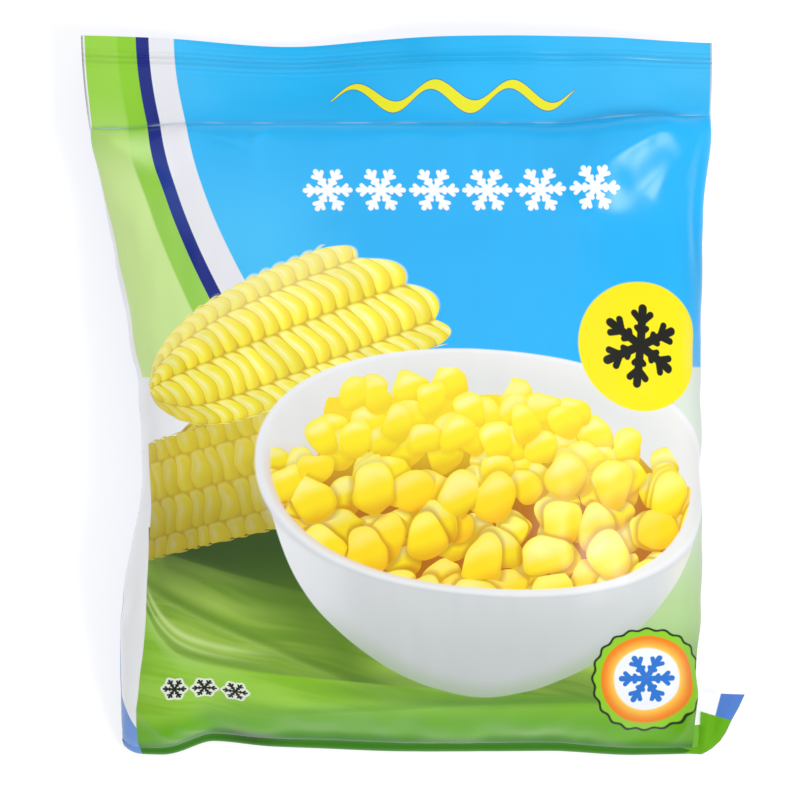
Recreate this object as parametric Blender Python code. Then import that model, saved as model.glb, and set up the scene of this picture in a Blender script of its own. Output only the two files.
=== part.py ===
"""A 500 g frozen vegetable bag: a printed film pillow bag that lies on its back.

The filled body, the flat header over it and the foot seal folded under it are one sealed pack, so they are
one solid: a single loft of rings along the film, from the foot seal's free edge, round the fold at the foot,
over the body and up to the header's cut edge. The foot's right corner holds no filling, and sticks out flat.
Metres, +Z up, +Y towards the header, and the printed face looks up. The origin is at the middle of the
pack's box, on the surface that the pack lies on.
"""

import math

import bmesh
import bpy
from mathutils import Vector

NAME = "bag"

# Film and filling
FLAT_WIDTH = 0.1868  # the empty tube of film, pressed flat
FULL_THICKNESS = 0.0495
SEAL_THICKNESS = 0.0010
FOLD_THICKNESS = 0.0012

# Stations along the bag
HEADER_EDGE_Y = 0.1068
HEADER_LENGTH = 0.0265
CREASE_Y = HEADER_EDGE_Y - HEADER_LENGTH
FOOT_Y = -0.1066
CENTRE_X = -0.0050  # the mid-line of the flat tube, which is not that of the pack's box

# The header: its height, and how it hangs
HEADER_Z = 0.018
CREASE_THICKNESS = 0.0080
HEADER_TILT = math.radians(6)
DIP_TILT = math.radians(22)
DIP_X = -0.038
DIP_REACH = 0.036
CORNER_TILT = math.radians(17)
CORNER_X = 0.090
CORNER_REACH = 0.034

# How the sides draw in as the bag fills
RIGHT_PINCH = 0.0033
LEFT_PINCH = 0.0181
LEFT_PINCH_START_Y = 0.0947
LEFT_PINCH_FULL_Y = 0.0005
LEFT_PINCH_SOFTNESS = 12
LEFT_RECOVERY = 0.0060
LEFT_RECOVERY_START_Y = -0.026
LEFT_RECOVERY_END_Y = -0.074

# How the thickness and the underside grow from each end
SHOULDER_RUN = 0.098
FOOT_RUN = 0.072
FOOT_THICKNESS = 0.0030
UNDERSIDE_RUN = 0.032
SIDE_HEIGHT_SHARE = 0.40
SIDE_DROP_START_Y = -0.055
SIDE_DROP = 0.50
FLAT_SHARE = 0.60  # of the half width, that lies flat on the surface
UNDERSIDE_LIFT = 0.0024  # over the folded foot seal
UNDERSIDE_LIFT_START_Y = -0.072
UNDERSIDE_LIFT_END_Y = -0.090

# The foot seal, folded under the body
FOLD_RADIUS = 0.0017
FOOT_SEAL_LENGTH = 0.0185
FOOT_SEAL_INSET = 0.0015

# The empty corner at the foot's right end: a flat plate of film, from inside the body out past its side
TAIL_X = (0.0740, 0.0982, 0.0938, 0.0848, 0.0740)
TAIL_Y = (-0.0876, -0.0884, -0.0966, -0.1058, -0.1030)
TAIL_Z = (0.0100, 0.0104, 0.0072, 0.0026, 0.0034)
TAIL_THICKNESS = 0.0012

# The foot's edge bows in between its two corners, and the left one is round
FOOT_BOW = 0.0014
FOOT_BOW_RIGHT_X = 0.066
FOOT_BOW_FULL_X = 0.040
FOOT_BOW_MORE = 0.0011  # towards the left
FOOT_BOW_MORE_X = -0.040
EAR_X = -0.077
EAR_END_X = -0.063
EAR_NOTCH = 0.0018
EAR_NOTCH_REACH = 0.013
EAR_ROUND = 0.0095
EAR_LEFT_X = -0.0862
FOOT_BOW_FADE = 0.040

# Rings
AROUND = 64
SEAL_RINGS = 6
FOLD_RINGS = 7
BODY_RINGS = 44
HEADER_RINGS = 7

FILM_COLOUR = (0.055, 0.42, 0.86, 1.0)
FILM_ROUGHNESS = 0.32


def line(x, start, end):
    """A straight step from 0 at start to 1 at end, which may run either way."""
    return max(0.0, min(1.0, (x - start) / (end - start)))


def ramp(x, start, end):
    """A smooth step from 0 at start to 1 at end, which may run either way."""
    t = line(x, start, end)
    return t * t * (3 - 2 * t)


def bump(x, middle, reach):
    return math.exp(-(((x - middle) / reach) ** 2))


def quarter(t, along, up):
    """The quarter of a superellipse: 0 at t = 0, with a steep start, and 1 at t = 1."""
    t = max(0.0, min(1.0, t))
    return (1 - (1 - t) ** along) ** (1 / up)


def soft_step(x, start, end, softness):
    """A straight run from 0 at start towards 1 at end, rounded off at both."""
    t = (x - start) / (end - start)
    rise = math.log1p(math.exp(softness * t)) - math.log1p(math.exp(softness * (t - 1)))
    return rise / softness


def half_widths(y):
    """How far the left and the right side stand from the flat tube's mid-line."""
    half = FLAT_WIDTH / 2
    left = LEFT_PINCH * soft_step(y, LEFT_PINCH_START_Y, LEFT_PINCH_FULL_Y, LEFT_PINCH_SOFTNESS)
    left -= LEFT_RECOVERY * ramp(y, LEFT_RECOVERY_START_Y, LEFT_RECOVERY_END_Y)
    right = RIGHT_PINCH * ramp(y, HEADER_EDGE_Y, 0.030)
    return half - left, half - right


def thickness(y):
    shoulder = quarter((CREASE_Y - y) / SHOULDER_RUN, 2.0, 1.7)
    foot = quarter((y - FOOT_Y - FOLD_RADIUS) / FOOT_RUN, 2.0, 1.6)
    from_top = CREASE_THICKNESS + (FULL_THICKNESS - CREASE_THICKNESS) * shoulder
    from_foot = FOOT_THICKNESS + (FULL_THICKNESS - FOOT_THICKNESS) * foot
    return from_top * from_foot / FULL_THICKNESS


def underside(y):
    """The height of the body's lowest line: on the surface, but over the foot seal and up to the header."""
    near = 1 - min(1.0, (CREASE_Y - y) / UNDERSIDE_RUN)
    lift = UNDERSIDE_LIFT * ramp(y, UNDERSIDE_LIFT_START_Y, UNDERSIDE_LIFT_END_Y)
    return lift + (HEADER_Z - CREASE_THICKNESS / 2) * near**2


def side_height(y):
    """The height of the ring's outermost points over its underside."""
    share = SIDE_HEIGHT_SHARE + 0.1 * ramp(y, 0.045, CREASE_Y)
    share *= 1 - SIDE_DROP * ramp(y, SIDE_DROP_START_Y, FOOT_Y)
    return share * thickness(y)


def foot_bow(x):
    """How far the foot's edge stands in from its corners at x."""
    bow = FOOT_BOW * ramp(x, FOOT_BOW_RIGHT_X, FOOT_BOW_FULL_X) + FOOT_BOW_MORE * ramp(x, 0, FOOT_BOW_MORE_X)
    notch = EAR_NOTCH * bump(x, EAR_END_X, EAR_NOTCH_REACH)
    corner = EAR_ROUND * line(x, EAR_X, EAR_LEFT_X) ** 3
    return (bow + notch) * ramp(x, EAR_X, EAR_END_X) + corner


def across_ring():
    """The places round a ring: across it from -1 to 1, and 1 over or -1 under the edges."""
    for i in range(AROUND):
        turn = 2 * math.pi * i / AROUND
        across = math.copysign(abs(math.cos(turn)) ** 0.9, math.cos(turn))
        yield across, 1 if i <= AROUND // 2 else -1


def body_ring(y):
    """One ring of the filled body, in a plane across the bag."""
    left, right = half_widths(y)
    low, side, full = underside(y), side_height(y), thickness(y)
    roundness = 2.0 + 0.5 * ramp(y, 0.060, 0.010)
    fade = ramp(y, FOOT_Y + FOOT_BOW_FADE, FOOT_Y)
    points = []
    for across, face in across_ring():
        x = CENTRE_X + across * (right if across > 0 else left)
        if face > 0:
            z = low + side + (full - side) * (1 - abs(across) ** roundness) ** 0.5
        else:
            past = max(0.0, (abs(across) - FLAT_SHARE) / (1 - FLAT_SHARE))
            z = low + side * (1 - (1 - past**2.2) ** 0.5)
        points.append(Vector((x, y + fade * foot_bow(x), z)))
    return points


def header_ring(share):
    """One ring of the header. share is 0 at the crease and 1 at the cut edge."""
    left, right = half_widths(CREASE_Y + HEADER_LENGTH * share)
    height = SEAL_THICKNESS + (CREASE_THICKNESS - SEAL_THICKNESS) * (1 - share) ** 2.5
    run = HEADER_LENGTH * share
    points = []
    for across, face in across_ring():
        x = CENTRE_X + across * (right if across > 0 else left)
        tilt = HEADER_TILT + DIP_TILT * bump(x, DIP_X, DIP_REACH)
        tilt += CORNER_TILT * bump(x, CORNER_X, CORNER_REACH)
        bulge = face * (1 - across**2) ** 0.5 * height / 2
        lean = tilt * share
        y = CREASE_Y + run * math.cos(tilt) + bulge * math.sin(lean)
        z = HEADER_Z - run * math.sin(tilt) + bulge * math.cos(lean)
        points.append(Vector((x, y, z)))
    return points


def seal_ring(run, turn):
    """One ring of the foot seal, run along it from the fold, at a turn from 0 before to 180 degrees after."""
    left, right = half_widths(FOOT_Y)
    height = FOLD_THICKNESS + (FOOT_THICKNESS - FOLD_THICKNESS) * (1 - turn / math.pi)
    left -= FOOT_SEAL_INSET * turn / math.pi
    right -= FOOT_SEAL_INSET * turn / math.pi
    centre_y = FOOT_Y + FOLD_RADIUS + FOLD_THICKNESS / 2 + run
    centre_z = FOLD_RADIUS + FOLD_THICKNESS / 2
    points = []
    for across, face in across_ring():
        x = CENTRE_X + across * (right if across > 0 else left)
        reach = FOLD_RADIUS + face * (1 - across**2) ** 0.5 * height / 2
        y = centre_y - reach * math.sin(turn) + foot_bow(x)
        z = centre_z + reach * math.cos(turn)
        points.append(Vector((x, y, z)))
    return points


def loft(name, rings):
    """A closed mesh over rings of equal counts of points, with a strip of quads over each end."""
    shape = bmesh.new()
    rows = [[shape.verts.new(point) for point in ring] for ring in rings]
    for lower, upper in zip(rows, rows[1:]):
        for i in range(AROUND):
            j = (i + 1) % AROUND
            shape.faces.new((lower[i], lower[j], upper[j], upper[i]))
    for ring in (rows[0], rows[-1]):
        for i in range(AROUND // 2):
            j = i + 1
            corners = (ring[i], ring[j], ring[-j], ring[-i])
            shape.faces.new(list(dict.fromkeys(corners)))  # the first and last one meet in a point
    bmesh.ops.recalc_face_normals(shape, faces=shape.faces)
    mesh = bpy.data.meshes.new(name)
    shape.to_mesh(mesh)
    shape.free()
    return bpy.data.objects.new(name, mesh)


def plate(name, corners, thickness):
    """A flat closed piece over an outline of corners, at their own heights."""
    shape = bmesh.new()
    layers = []
    for rise in (0, thickness):
        layers.append([shape.verts.new((x, y, z + rise)) for x, y, z in corners])
    for i in range(len(corners)):
        j = (i + 1) % len(corners)
        shape.faces.new((layers[0][i], layers[0][j], layers[1][j], layers[1][i]))
    for layer in layers:
        for i in range(1, len(corners) - 1):
            shape.faces.new((layer[0], layer[i], layer[i + 1]))
    bmesh.ops.recalc_face_normals(shape, faces=shape.faces)
    mesh = bpy.data.meshes.new(name)
    shape.to_mesh(mesh)
    shape.free()
    return bpy.data.objects.new(name, mesh)


def film_material():
    material = bpy.data.materials.new("printed_film")
    material.use_nodes = True
    surface = material.node_tree.nodes["Principled BSDF"]
    surface.inputs["Base Color"].default_value = FILM_COLOUR
    surface.inputs["Roughness"].default_value = FILM_ROUGHNESS
    surface.inputs["Metallic"].default_value = 0.0
    return material


def bag_rings():
    """All rings, from the foot seal's free edge to the header's cut edge."""
    rings = []
    for i in range(SEAL_RINGS):
        rings.append(seal_ring(FOOT_SEAL_LENGTH * (1 - i / SEAL_RINGS), math.pi))
    for i in range(FOLD_RINGS):
        rings.append(seal_ring(0, math.pi * (1 - i / FOLD_RINGS)))
    foot_y = FOOT_Y + FOLD_RADIUS + FOLD_THICKNESS / 2
    for i in range(BODY_RINGS):
        share = 0.5 - 0.5 * math.cos(math.pi * i / BODY_RINGS)  # closer together near both ends
        rings.append(body_ring(foot_y + (CREASE_Y - foot_y) * share))
    for i in range(HEADER_RINGS):
        rings.append(header_ring(i / (HEADER_RINGS - 1)))
    return rings


def main():
    for thing in list(bpy.data.objects):
        bpy.data.objects.remove(thing)
    shown = bpy.data.collections.new("frozen_vegetable_bag")
    joined = bpy.data.collections.new("joined_pieces")
    bpy.context.scene.collection.children.link(shown)
    bpy.context.scene.collection.children.link(joined)

    bag = loft(NAME, bag_rings())
    shown.objects.link(bag)
    bag.data.materials.append(film_material())
    bag.data.shade_smooth()
    bag.data.set_sharp_from_angle(angle=math.radians(50))

    tail = plate("tail", list(zip(TAIL_X, TAIL_Y, TAIL_Z)), TAIL_THICKNESS)
    joined.objects.link(tail)
    tail.hide_render = True
    tail.display_type = "WIRE"
    join = bag.modifiers.new("join_tail", "BOOLEAN")
    join.operation = "UNION"
    join.solver = "EXACT"
    join.object = tail


main()
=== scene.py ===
"""The looks of a 500 g frozen vegetable bag, lying on its back: a printed film pillow bag.

The film is one tube, pressed flat at the header and folded under at the foot. Its grid has rows along the
bag and columns round it, so each point keeps its place on the flat film: u across it and v down from the
header's cut edge, both in millimetres. The print is drawn in those two.
"""

import math

import bpy
import numpy as np
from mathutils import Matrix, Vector


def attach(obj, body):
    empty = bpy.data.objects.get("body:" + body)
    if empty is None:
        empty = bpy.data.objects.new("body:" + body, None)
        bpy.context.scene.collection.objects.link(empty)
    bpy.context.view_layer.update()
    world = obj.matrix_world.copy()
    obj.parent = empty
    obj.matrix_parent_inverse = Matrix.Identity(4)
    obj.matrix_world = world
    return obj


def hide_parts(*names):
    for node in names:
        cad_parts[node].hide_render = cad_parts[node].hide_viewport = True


MM = 0.001

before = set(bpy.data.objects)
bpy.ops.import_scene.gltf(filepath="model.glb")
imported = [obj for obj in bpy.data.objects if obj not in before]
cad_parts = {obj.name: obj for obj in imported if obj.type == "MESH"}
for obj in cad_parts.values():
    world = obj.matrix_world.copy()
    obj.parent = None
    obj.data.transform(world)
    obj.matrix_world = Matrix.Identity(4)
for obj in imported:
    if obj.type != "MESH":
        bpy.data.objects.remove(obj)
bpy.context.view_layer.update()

# ---------------------------------------------------------------- the film's form, in millimetres

# Film and filling
FLAT = 186.8  # the empty tube of film, pressed flat
GIRTH = 2 * FLAT
FULL_THICKNESS = 49.5
SEAL_THICKNESS = 0.5
FOLD_THICKNESS = 0.7

# Stations along the bag
HEADER_LENGTH = 26.5
HEADER_EDGE_Y = 106.8
CREASE_Y = HEADER_EDGE_Y - HEADER_LENGTH
FOOT_Y = -106.6
CENTRE_X = -5.0  # the flat tube's mid-line

# The header: its height, and how it hangs, in degrees
HEADER_Z = 18.0
CREASE_THICKNESS = 7.0
HEADER_TILT = 6
DIP_TILT, DIP_X, DIP_REACH = 22, -38, 36
CORNER_TILT, CORNER_X, CORNER_REACH = 17, 90, 34

# How the sides draw in as the bag fills, each from where to where along it
LEFT_PINCH, LEFT_PINCH_RUN = 18.1, (94.7, 0.5)
LEFT_PINCH_SOFTNESS = 12
LEFT_RECOVERY, LEFT_RECOVERY_RUN = 6.3, (-27, -66)
RIGHT_PINCH, RIGHT_PINCH_RUN = 3.3, (HEADER_EDGE_Y, 30)

# How the thickness and the underside grow from each end
SHOULDER_RUN = 98
FOOT_RUN = 72
FOOT_THICKNESS = 3.0
UNDERSIDE_RUN = 32
UNDERSIDE_LIFT, UNDERSIDE_LIFT_RUN = 2.4, (-72, -90)  # over the folded foot seal
SIDE_HEIGHT_SHARE = 0.40
SIDE_DROP, SIDE_DROP_START_Y = 0.5, -55
FLAT_SHARE = 0.60  # of the half width, that lies flat on the surface

# The foot: its seal, folded under the body, and how its edge bows in between its corners
FOLD_RADIUS = 1.7
FOOT_SEAL = 18.5
FOOT_SEAL_INSET = 1.5
FOOT_FOLD_Y = FOOT_Y + FOLD_RADIUS + 0.6
FOOT_BOW, FOOT_BOW_RUN = 1.4, (66, 40)
LEFT_BOW, LEFT_BOW_RUN = 1.1, (0, -40)
EAR_NOTCH, EAR_NOTCH_X, EAR_NOTCH_REACH = 1.8, -60, 13
EAR_RUN = (-75, -59)
EAR_ROUND, EAR_ROUND_RUN = 2.5, (-79, -86.3)
FOOT_BOW_FADE = 40

# The grid
FRONT_COLUMNS = 188
BACK_COLUMNS = 112
HEADER_ROWS = 27
BODY_ROWS = 198
FOLD_ROWS = 8
SEAL_ROWS = 12

# How the film settles
COARSE = 3  # the settling film has a point at every third row and column
SIDE_SPARE, END_SPARE = 0.035, 0.02  # how much too long the film is there
SETTLE_STEPS = 260
BEND_SHARE = 0.95  # second neighbours come no nearer than this share of their distance
SLIDE = 3.0


def line(x, start, end):
    """A straight step from 0 at start to 1 at end, which may run either way."""
    return np.clip((x - start) / (end - start), 0, 1)


def ramp(x, start, end):
    """A smooth step from 0 at start to 1 at end, which may run either way."""
    t = line(x, start, end)
    return t * t * (3 - 2 * t)


def bump(x, middle, reach):
    return np.exp(-(((x - middle) / reach) ** 2))


def quarter(t, along, up):
    """The quarter of a superellipse: 0 at t = 0, with a steep start, and 1 at t = 1."""
    t = np.clip(t, 0, 1)
    return (1 - (1 - t) ** along) ** (1 / up)


def soft_step(x, start, end, softness):
    """A straight run from 0 at start towards 1 at end, rounded off at both."""
    t = (x - start) / (end - start)
    return (np.log1p(np.exp(softness * t)) - np.log1p(np.exp(softness * (t - 1)))) / softness


def half_widths(y):
    """How far the left and the right side stand from the flat tube's mid-line."""
    left = LEFT_PINCH * soft_step(y, *LEFT_PINCH_RUN, LEFT_PINCH_SOFTNESS)
    left -= LEFT_RECOVERY * ramp(y, *LEFT_RECOVERY_RUN)
    right = RIGHT_PINCH * ramp(y, *RIGHT_PINCH_RUN)
    return FLAT / 2 - left, FLAT / 2 - right


def thickness(y):
    shoulder = quarter((CREASE_Y - y) / SHOULDER_RUN, 2.0, 1.7)
    foot = quarter((y - FOOT_Y - FOLD_RADIUS) / FOOT_RUN, 2.0, 1.6)
    from_top = CREASE_THICKNESS + (FULL_THICKNESS - CREASE_THICKNESS) * shoulder
    from_foot = FOOT_THICKNESS + (FULL_THICKNESS - FOOT_THICKNESS) * foot
    return from_top * from_foot / FULL_THICKNESS


def underside(y):
    """The height of the body's lowest line: on the surface, but over the foot seal and up to the header."""
    near = 1 - np.minimum(1, (CREASE_Y - y) / UNDERSIDE_RUN)
    return UNDERSIDE_LIFT * ramp(y, *UNDERSIDE_LIFT_RUN) + (HEADER_Z - CREASE_THICKNESS / 2) * near**2


def side_height(y):
    """The height of a row's outermost points over its underside."""
    share = SIDE_HEIGHT_SHARE + 0.1 * ramp(y, 45, CREASE_Y)
    return share * (1 - SIDE_DROP * ramp(y, SIDE_DROP_START_Y, FOOT_Y)) * thickness(y)


def foot_bow(x):
    """How far the foot's edge stands in from its corners at x."""
    bow = FOOT_BOW * ramp(x, *FOOT_BOW_RUN) + LEFT_BOW * ramp(x, *LEFT_BOW_RUN)
    bow += EAR_NOTCH * bump(x, EAR_NOTCH_X, EAR_NOTCH_REACH)
    return bow * ramp(x, *EAR_RUN) + EAR_ROUND * line(x, *EAR_ROUND_RUN) ** 3


def around(x, z, columns_u):
    """Points of a closed outline at their film places: u is 0 at the middle of its upper half."""
    closed_x = np.append(x, x[0])
    closed_z = np.append(z, z[0])
    run = np.concatenate([[0], np.cumsum(np.hypot(np.diff(closed_x), np.diff(closed_z)))])
    middle = run[len(x) // 2] / 2
    places = np.mod(middle + columns_u * run[-1] / GIRTH, run[-1])
    return np.interp(places, run, closed_x), np.interp(places, run, closed_z)


TURN = np.linspace(math.pi, -math.pi, 1600, endpoint=False)  # from the left side, over the top
ACROSS = np.sign(np.cos(TURN)) * np.abs(np.cos(TURN)) ** 0.9
OVER = np.sin(TURN) >= 0


def body_row(y, columns_u):
    """One row round the filled body."""
    left, right = half_widths(y)
    low, side, full = underside(y), side_height(y), thickness(y)
    roundness = 2.0 + 0.5 * ramp(y, 60, 10)
    x = CENTRE_X + ACROSS * np.where(ACROSS > 0, right, left)
    top = low + side + (full - side) * (1 - np.abs(ACROSS) ** roundness) ** 0.5
    past = np.clip((np.abs(ACROSS) - FLAT_SHARE) / (1 - FLAT_SHARE), 0, 1)
    bottom = low + side * (1 - (1 - past**2.2) ** 0.5)
    x, z = around(x, np.where(OVER, top, bottom), columns_u)
    return x, y + ramp(y, FOOT_Y + FOOT_BOW_FADE, FOOT_Y) * foot_bow(x), z


def flat_row(left, right, height, columns_u):
    """Pressed film: where its points stand across the bag, and how far off its middle plane."""
    x = CENTRE_X + ACROSS * np.where(ACROSS > 0, right, left)
    bulge = np.where(OVER, 1, -1) * np.sqrt(np.clip(1 - ACROSS**2, 0, 1)) * height / 2
    return around(x, bulge, columns_u)


def header_row(share, columns_u):
    """One row of the header. share is 0 at the crease and 1 at the cut edge."""
    left, right = half_widths(CREASE_Y + HEADER_LENGTH * share)
    height = SEAL_THICKNESS + (CREASE_THICKNESS - SEAL_THICKNESS) * (1 - share) ** 4
    x, bulge = flat_row(left, right, height * ramp(share, 1.03, 0.95), columns_u)
    tilt = HEADER_TILT + DIP_TILT * bump(x, DIP_X, DIP_REACH) + CORNER_TILT * bump(x, CORNER_X, CORNER_REACH)
    tilt = np.radians(tilt)
    run = HEADER_LENGTH * share
    y = CREASE_Y + run * np.cos(tilt) + bulge * np.sin(tilt * share)
    return x, y, HEADER_Z - run * np.sin(tilt) + bulge * np.cos(tilt * share)


def seal_row(run, turn, columns_u):
    """One row of the foot seal, run along it from the fold, at a turn from 0 before to pi after."""
    left, right = half_widths(FOOT_Y)
    height = FOLD_THICKNESS + (FOOT_THICKNESS - FOLD_THICKNESS) * (1 - turn / math.pi)
    inset = FOOT_SEAL_INSET * turn / math.pi
    x, bulge = flat_row(left - inset, right - inset, height, columns_u)
    reach = FOLD_RADIUS + bulge
    y = FOOT_FOLD_Y + run - reach * math.sin(turn) + foot_bow(x)
    return x, y, FOLD_RADIUS + FOLD_THICKNESS / 2 + reach * math.cos(turn)


def film_grid():
    """Points by row and column, with each column's u and each row's v."""
    front = (np.arange(FRONT_COLUMNS) / FRONT_COLUMNS - 0.5) * FLAT
    back = FLAT / 2 + np.arange(BACK_COLUMNS) / BACK_COLUMNS * FLAT
    u = np.concatenate([front, back])
    fine = np.linspace(CREASE_Y, FOOT_FOLD_Y, 1200)
    crown = underside(fine) + thickness(fine)
    crown_run = np.concatenate([[0], np.cumsum(np.hypot(np.diff(fine), np.diff(crown)))])
    rows, v = [], []
    for i in range(HEADER_ROWS):
        share = 1 - i / HEADER_ROWS
        rows.append(header_row(share, u))
        v.append(HEADER_LENGTH * (1 - share))
    for i in range(BODY_ROWS):
        run = crown_run[-1] * i / BODY_ROWS
        rows.append(body_row(np.interp(run, crown_run, fine), u))
        v.append(HEADER_LENGTH + run)
    body_end = HEADER_LENGTH + crown_run[-1]
    for i in range(FOLD_ROWS):
        rows.append(seal_row(0, math.pi * i / FOLD_ROWS, u))
        v.append(body_end + math.pi * FOLD_RADIUS * i / FOLD_ROWS)
    for i in range(SEAL_ROWS + 1):
        rows.append(seal_row(FOOT_SEAL * i / SEAL_ROWS, math.pi, u))
        v.append(body_end + math.pi * FOLD_RADIUS + FOOT_SEAL * i / SEAL_ROWS)
    return np.array(rows).transpose(0, 2, 1), u, np.array(v)


def steps_u(form):
    """How far each point is from its neighbour round the film."""
    return np.sqrt(((np.roll(form, -1, axis=2) - form) ** 2).sum(axis=0))


def steps_v(form):
    """How far each point is from its neighbour along the film."""
    return np.sqrt(((form[:, 1:] - form[:, :-1]) ** 2).sum(axis=0))


def form_normals(form):
    """Outward unit normals of the grid, as (3, rows, columns)."""
    along_u = np.roll(form, -1, axis=2) - np.roll(form, 1, axis=2)
    along_v = np.gradient(form, axis=1)
    normal = np.cross(along_v, along_u, axis=0)
    return normal / (np.linalg.norm(normal, axis=0) + 1e-9)


def soft_noise(rows, columns, row_scale, column_scale, seed):
    """Smooth noise of about unit size, periodic round the film, with features of so many cells."""
    rng = np.random.default_rng(seed)
    spectrum = np.fft.rfft2(rng.standard_normal((rows, columns)))
    row_wave = np.fft.fftfreq(rows)[:, None] * row_scale
    column_wave = np.fft.rfftfreq(columns)[None, :] * column_scale
    spectrum *= np.exp(-2 * (row_wave**2 + column_wave**2))
    noise = np.fft.irfft2(spectrum, s=(rows, columns))
    return noise / noise.std()


def pull(a, b, rest, gain_short, gain_long):
    """Moves the ends of many edges towards their rest lengths."""
    gap = b - a
    length = np.sqrt((gap**2).sum(axis=0)) + 1e-9
    error = length - rest
    gap *= np.where(error > 0, gain_long, gain_short) * 0.5 * error / length
    a += gap
    b -= gap


def pull_edges(now, rest_u, rest_v):
    """Pulls neighbours along the film and round it to their lengths, every other edge at a time."""
    for first in (0, 1):
        pull(now[:, first:-1:2], now[:, first + 1 :: 2], rest_v[first::2], 0.9, 0.9)
    for first in (0, 1):
        now = np.roll(now, -first, axis=2)
        pull(now[:, :, 0::2], now[:, :, 1::2], np.roll(rest_u, -first, axis=1)[:, 0::2], 0.9, 0.9)
        now = np.roll(now, first, axis=2)
    return now


def pull_diagonals(now, rest_across, rest_counter):
    for first in (0, 1):
        beside = np.roll(now, -1, axis=2)[:, first + 1 :: 2]
        pull(now[:, first:-1:2], beside, rest_across[first::2], 0.3, 0.3)
        now[:, first + 1 :: 2] = np.roll(beside, 1, axis=2)
        beside = np.roll(now, -1, axis=2)[:, first:-1:2]
        pull(beside, now[:, first + 1 :: 2], rest_counter[first::2], 0.3, 0.3)
        now[:, first:-1:2] = np.roll(beside, 1, axis=2)


def resist_bending(now, bend_u, bend_v):
    """Pushes second neighbours apart where the film bends sharply."""
    for first in (0, 1):
        rolled, rest = np.roll(now, -first, axis=2), np.roll(bend_u, -first, axis=1)
        pull(rolled[:, :, 0::4], rolled[:, :, 2::4], rest[:, 0::4], 0.5, 0.0)
        rolled, rest = np.roll(rolled, -2, axis=2), np.roll(rest, -2, axis=1)
        pull(rolled[:, :, 0::4], rolled[:, :, 2::4], rest[:, 0::4], 0.5, 0.0)
        now = np.roll(rolled, 2 + first, axis=2)
    for first in range(4):
        after = now[:, first + 2 :: 4]
        count = after.shape[1]
        pull(now[:, first::4][:, :count], after, bend_v[first::4][:count], 0.5, 0.0)
    return now


def relax(form, start, rest_u, rest_v, low, high):
    """Settles the film from a start near its form, given its real lengths, so that what is too long wrinkles.

    Edges keep their lengths, second neighbours resist bending, and each point stays between low and
    high millimetres off the form and within a slide along it. The end rows don't move.
    """
    normal = form_normals(form)
    true_u, true_v = steps_u(form), steps_v(form)
    beside = np.roll(form, -1, axis=2)
    across = np.sqrt(((beside[:, 1:] - form[:, :-1]) ** 2).sum(axis=0))
    counter = np.sqrt(((beside[:, :-1] - form[:, 1:]) ** 2).sum(axis=0))
    grow_u = (rest_u / true_u)[:-1]
    grow_v = rest_v / true_v
    share_u = true_u[:-1] ** 2 / (true_u[:-1] ** 2 + true_v**2)
    grow = np.sqrt(share_u * grow_u**2 + (1 - share_u) * grow_v**2)
    rest_across, rest_counter = across * grow, counter * grow
    bend_u = BEND_SHARE * np.sqrt(((np.roll(form, -2, axis=2) - form) ** 2).sum(axis=0))
    bend_v = BEND_SHARE * np.sqrt(((form[:, 2:] - form[:, :-2]) ** 2).sum(axis=0))
    now = before = start
    for _ in range(SETTLE_STEPS):
        last = now
        now = now + 0.5 * (now - before)
        before = last
        for _ in range(2):
            now = pull_edges(now, rest_u, rest_v)
            pull_diagonals(now, rest_across, rest_counter)
            now = resist_bending(now, bend_u, bend_v)
        offset = now - form
        out = (offset * normal).sum(axis=0)
        along = offset - normal * out
        far = np.sqrt((along**2).sum(axis=0)) + 1e-9
        now = form + along * np.minimum(1, SLIDE / far) + normal * np.clip(out, low, high)
        now[:, [0, -1]] = form[:, [0, -1]]
    return now


def smooth(field, passes):
    """Evens a field out with its neighbours, round the film and along it; the end rows stay."""
    for _ in range(passes):
        field = 0.5 * field + 0.25 * (np.roll(field, 1, axis=-1) + np.roll(field, -1, axis=-1))
        inner = 0.5 * field[..., 1:-1, :] + 0.25 * (field[..., :-2, :] + field[..., 2:, :])
        field = np.concatenate([field[..., :1, :], inner, field[..., -1:, :]], axis=-2)
    return field


def refine(field, factor):
    """A field on every factor-th row and column, brought to all of them."""
    rows, columns = field.shape[-2:]
    closed = np.concatenate([field, field[..., :1]], axis=-1)
    at = np.arange(columns * factor) / factor
    low = at.astype(int)
    part = at - low
    wide = closed[..., low] * (1 - part) + closed[..., low + 1] * part
    at = np.arange((rows - 1) * factor + 1) / factor
    low = np.minimum(at.astype(int), rows - 2)
    part = (at - low)[:, None]
    return wide[..., low, :] * (1 - part) + wide[..., low + 1, :] * part


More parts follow.
